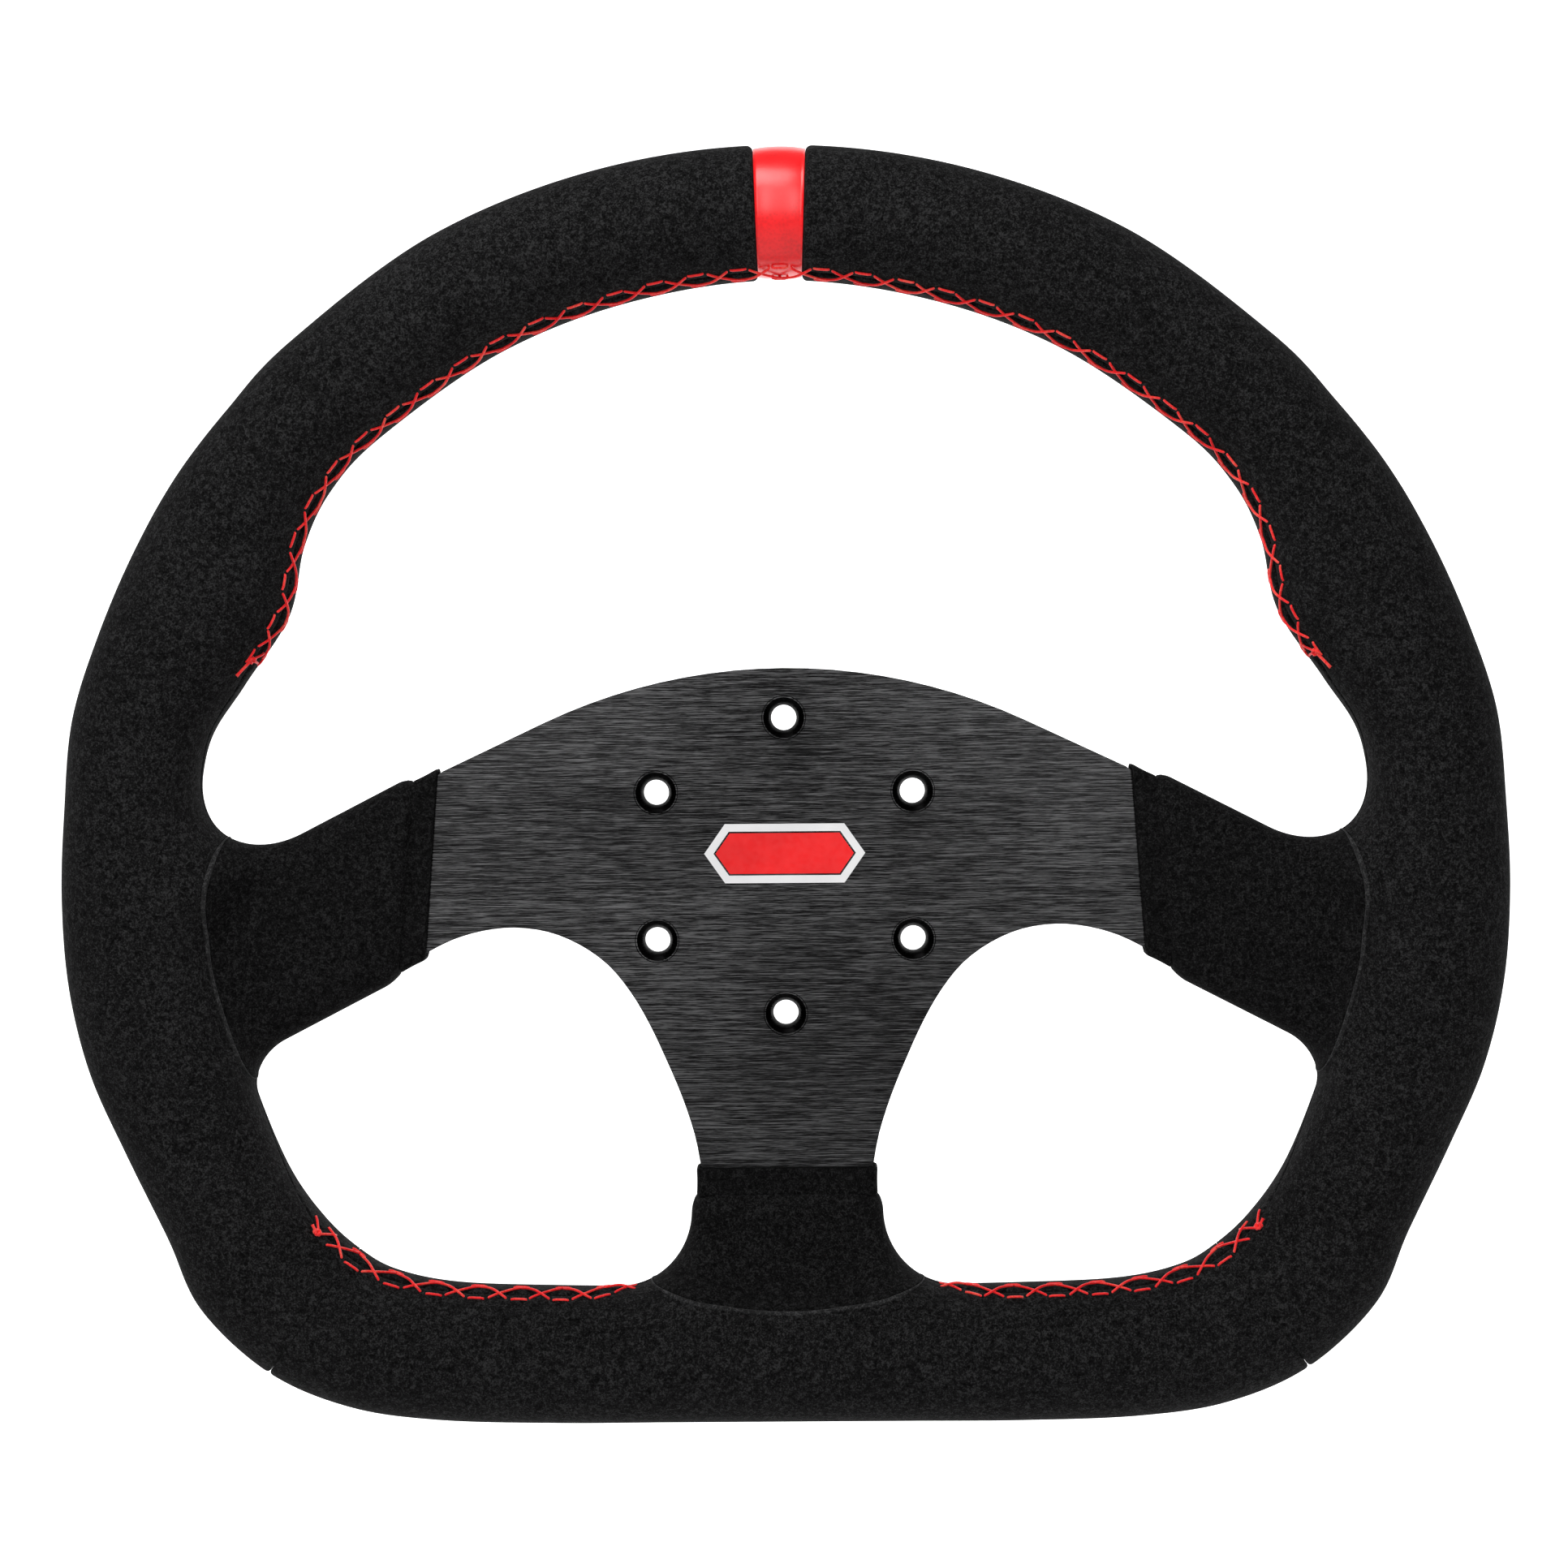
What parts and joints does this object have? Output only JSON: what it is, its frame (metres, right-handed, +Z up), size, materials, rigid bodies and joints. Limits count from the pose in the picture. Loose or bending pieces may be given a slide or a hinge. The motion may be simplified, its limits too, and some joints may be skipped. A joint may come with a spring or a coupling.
{
  "type": "racing steering wheel",
  "caption": "Flat-bottomed racing steering wheel: a brushed black spoke plate with a countersunk bolt circle and a foam rim in laced suede with a red centre band.",
  "frame": {"origin": "centre of the hub bolt circle, on the back face of the spoke plate", "axes": "+X to the driver's right, +Y forwards towards the steering hub, +Z up with the wheel straight ahead"},
  "size_m": [0.3368, 0.0302, 0.2965],
  "materials": {
    "plate_black": "black anodised, brushed across the width",
    "hoop_steel": "plain drawn tube",
    "spigot_steel": "turned",
    "lug_steel": "zinc plated",
    "rivet_aluminium": "satin",
    "grip_foam": "moulded foam skin, matt",
    "rim_suede": "black suede, fine nap",
    "sleeve_suede": "black suede, fine nap",
    "cuff_suede": "black suede, pressed",
    "band_leather": "glossy coated leather",
    "red_thread": "waxed thread",
    "badge_red": "gloss film",
    "badge_white": "gloss film"
  },
  "bodies": {
    "root": {"spoke_plate": "plate_black", "rim_hoop": "hoop_steel", "hoop_spigot": "spigot_steel", "left_arm_lug": "lug_steel", "right_arm_lug": "lug_steel", "bottom_arm_lug": "lug_steel", "arm_rivets": "rivet_aluminium", "grip_foam": "grip_foam", "upper_left_cover": "rim_suede", "upper_right_cover": "rim_suede", "lower_cover": "rim_suede", "centre_band": "band_leather", "left_sleeve": "sleeve_suede", "right_sleeve": "sleeve_suede", "bottom_sleeve": "sleeve_suede", "left_cuff": "cuff_suede", "right_cuff": "cuff_suede", "bottom_cuff": "cuff_suede", "top_lacing": "red_thread", "lower_left_lacing": "red_thread", "lower_right_lacing": "red_thread", "badge_red": "badge_red", "badge_white": "badge_white"}
  },
  "joints": []
}
